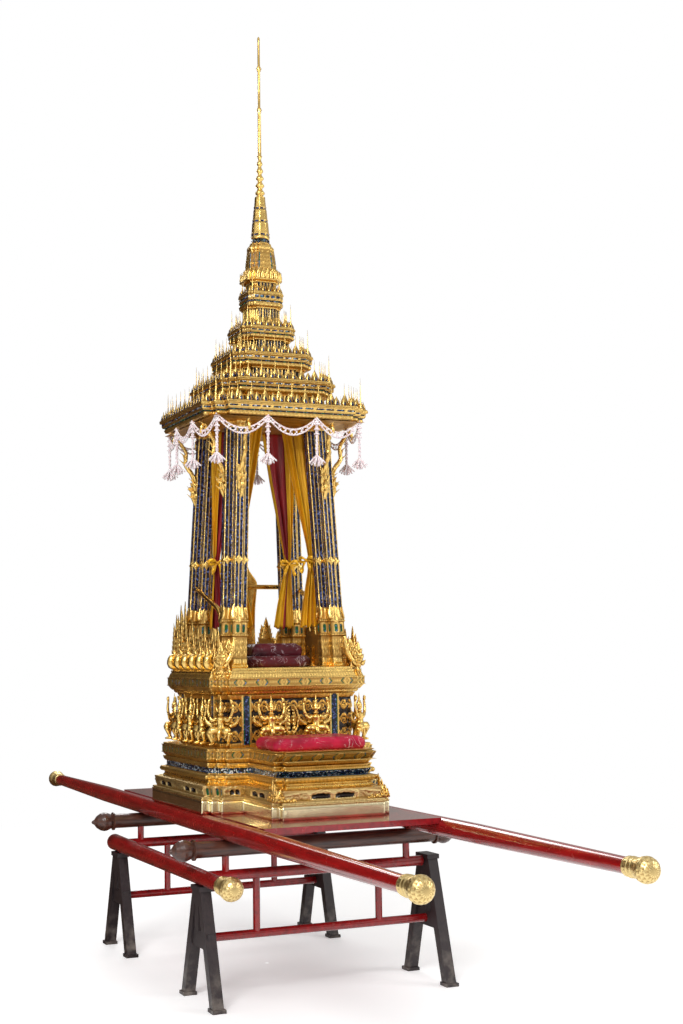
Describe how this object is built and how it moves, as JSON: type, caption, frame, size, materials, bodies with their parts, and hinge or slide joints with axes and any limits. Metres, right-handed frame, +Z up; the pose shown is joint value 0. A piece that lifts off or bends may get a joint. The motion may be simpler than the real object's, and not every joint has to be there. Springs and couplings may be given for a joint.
{
  "type": "spired royal palanquin on trestles",
  "caption": "Gilded palanquin with a tiered spired canopy on leaning posts, a carved stepped throne base and two long red carrying poles, parked on red and black trestles.",
  "frame": {"origin": "on the floor, under the canopy's axis, midway between the pole ends", "axes": "+Z up, -Y towards the front step, +X to the right seen from the front"},
  "size_m": [1.49, 5.5042, 4.954],
  "materials": {
    "black_wood": "black painted wood",
    "red_lacquer": "glossy red lacquer",
    "dark_turned_wood": "polished dark wood",
    "gilt_brass": "polished and chased",
    "gilt_wood": "gold leaf on carved wood",
    "blue_glass": "dark blue glass strips with gold lines",
    "maroon_silk": "dark maroon silk under clear film",
    "crimson_silk": "crimson silk under clear film",
    "gold_satin": "gold satin lined with red",
    "white_flowers": "strung white buds"
  },
  "bodies": {
    "root": {"near_left_a_frame": "black_wood", "near_right_a_frame": "black_wood", "far_left_a_frame": "black_wood", "far_right_a_frame": "black_wood", "near_upper_rail": "red_lacquer", "far_upper_rail": "red_lacquer", "near_lower_rail": "red_lacquer", "far_lower_rail": "red_lacquer", "near_uprights": "red_lacquer", "far_uprights": "red_lacquer", "side_beam": "red_lacquer", "left_pole": "red_lacquer", "right_pole": "red_lacquer", "board": "red_lacquer", "near_crossbar": "dark_turned_wood", "far_crossbar": "dark_turned_wood", "side_beam_ball": "gilt_brass", "front_left_ball": "gilt_brass", "front_right_ball": "gilt_brass", "rear_left_ball": "gilt_brass", "rear_right_ball": "gilt_brass", "rear_rail": "gilt_brass", "left_arm_rail": "gilt_brass", "right_arm_rail": "gilt_brass", "plinth": "gilt_wood", "waist": "gilt_wood", "lower_cornice": "gilt_wood", "frieze": "gilt_wood", "frieze_figures": "gilt_wood", "upper_cornice": "gilt_wood", "seat_back": "gilt_wood", "left_panel": "gilt_wood", "right_panel": "gilt_wood", "rear_panels": "gilt_wood", "eave": "gilt_wood", "second_roof": "gilt_wood", "third_roof": "gilt_wood", "fourth_roof": "gilt_wood", "fifth_roof": "gilt_wood", "bell": "gilt_wood", "spire": "gilt_wood", "front_left_post": "blue_glass", "front_right_post": "blue_glass", "rear_left_post": "blue_glass", "rear_right_post": "blue_glass", "seat_cushion": "maroon_silk", "top_cushion": "maroon_silk", "step_cushion": "crimson_silk", "front_left_curtain": "gold_satin", "front_right_curtain": "gold_satin", "rear_left_curtain": "gold_satin", "rear_right_curtain": "gold_satin", "garland": "white_flowers"}
  },
  "joints": []
}
